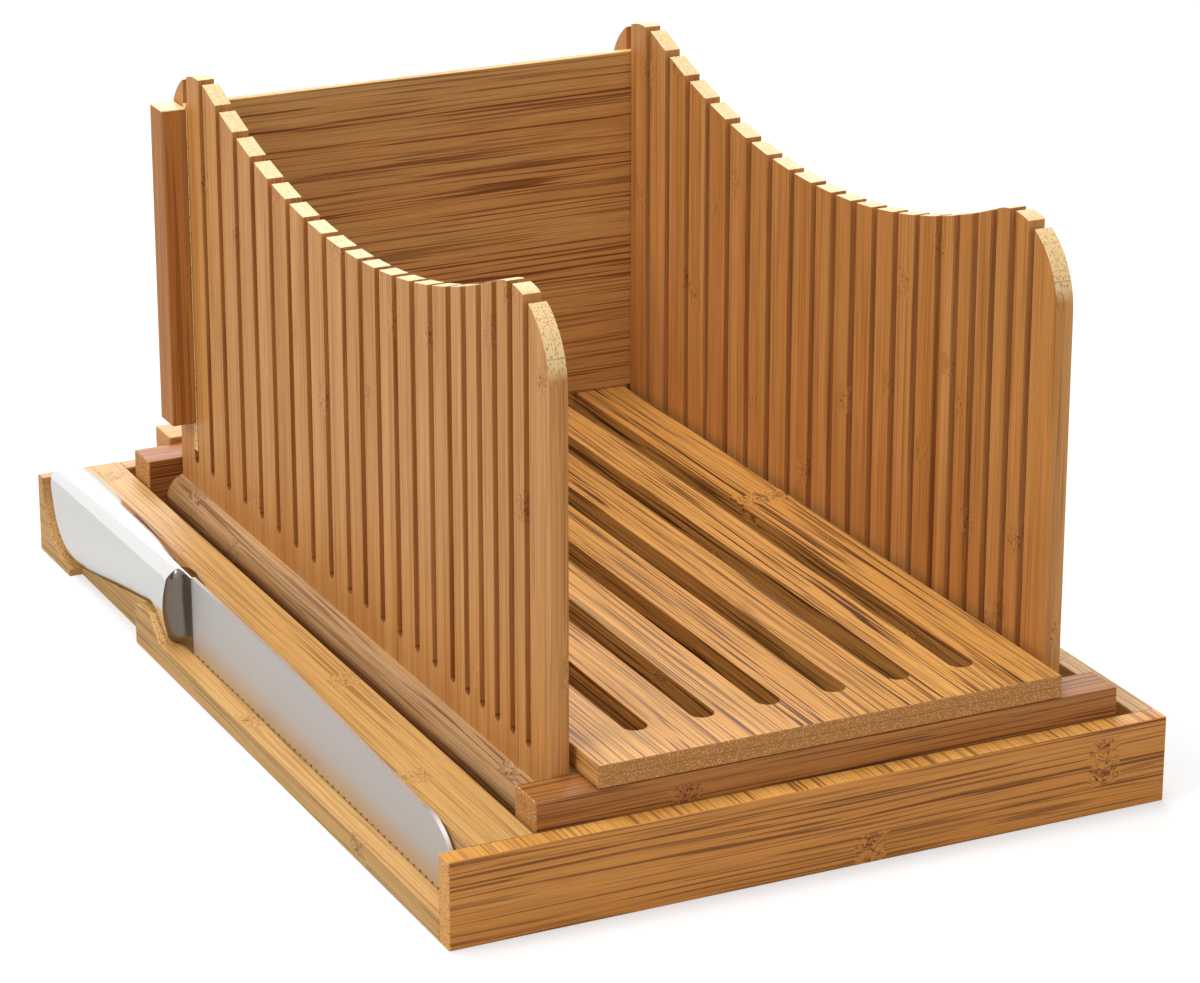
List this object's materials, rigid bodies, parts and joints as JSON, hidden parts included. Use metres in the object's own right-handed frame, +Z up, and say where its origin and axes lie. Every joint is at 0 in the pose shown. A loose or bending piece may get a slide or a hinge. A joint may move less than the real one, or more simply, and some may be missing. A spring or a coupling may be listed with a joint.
{
  "type": "bread slicer guide",
  "caption": "Bamboo bread slicing guide: slotted hinged side walls on a lift-out frame with cutting board and backboard, standing in a crumb tray that stores a bread knife.",
  "frame": {"origin": "bottom centre of the crumb tray, on the surface that it stands on", "axes": "+Y from the open front to the backboard, +X to the slicer's right as seen from the front, +Z up"},
  "size_m": [0.244, 0.3616, 0.183],
  "materials": {
    "tray_bamboo": "satin oiled bamboo",
    "frame_bamboo": "satin oiled bamboo",
    "wall_bamboo": "satin oiled bamboo",
    "board_bamboo": "satin oiled bamboo",
    "backboard_bamboo": "satin oiled bamboo",
    "blade_steel": "fine brushed stainless steel",
    "handle_steel": "polished stainless steel",
    "pin_steel": "plain steel pin"
  },
  "bodies": {
    "tray": {"tray_front_rail": "tray_bamboo", "tray_rear_rail": "tray_bamboo", "tray_right_rail": "tray_bamboo", "tray_knife_rail": "tray_bamboo", "tray_floor": "tray_bamboo", "tray_stop_bar": "tray_bamboo"},
    "slicer_base": {"base_front_bar": "frame_bamboo", "base_rear_bar": "frame_bamboo", "front_left_hinge_pin": "pin_steel", "front_right_hinge_pin": "pin_steel", "rear_left_hinge_pin": "pin_steel", "rear_right_hinge_pin": "pin_steel"},
    "left_wall": {"left_hinge_rod": "wall_bamboo", "left_guide_wall": "wall_bamboo"},
    "right_wall": {"right_hinge_rod": "wall_bamboo", "right_guide_wall": "wall_bamboo"},
    "cutting_board": {"board_top_ply": "board_bamboo", "board_bottom_ply": "board_bamboo"},
    "backboard": {"backboard_panel": "backboard_bamboo", "backboard_left_post": "backboard_bamboo", "backboard_right_post": "backboard_bamboo"},
    "knife": {"knife_blade": "blade_steel", "knife_bolster": "handle_steel", "knife_handle": "handle_steel"}
  },
  "joints": [
    {"name": "base_lift", "type": "slide", "parent": "tray", "child": "slicer_base", "axis": [0, 0, 1], "range_m": [0, 0.045]},
    {"name": "left_wall_tilt", "type": "hinge", "parent": "slicer_base", "child": "left_wall", "pos_m": [-0.0754, 0, 0.0235], "axis": [0, 1, 0], "range_deg": [0, 5]},
    {"name": "right_wall_tilt", "type": "hinge", "parent": "slicer_base", "child": "right_wall", "pos_m": [0.0936, 0, 0.0235], "axis": [0, -1, 0], "range_deg": [0, 5]},
    {"name": "board_slide", "type": "slide", "parent": "slicer_base", "child": "cutting_board", "axis": [0, -1, 0], "range_m": [0, 0.35]},
    {"name": "backboard_lift", "type": "slide", "parent": "slicer_base", "child": "backboard", "axis": [0, 0, 1], "range_m": [0, 0.14]},
    {"name": "knife_out", "type": "slide", "parent": "tray", "child": "knife", "axis": [-1, 0, 0], "range_m": [0, 0.03]}
  ]
}
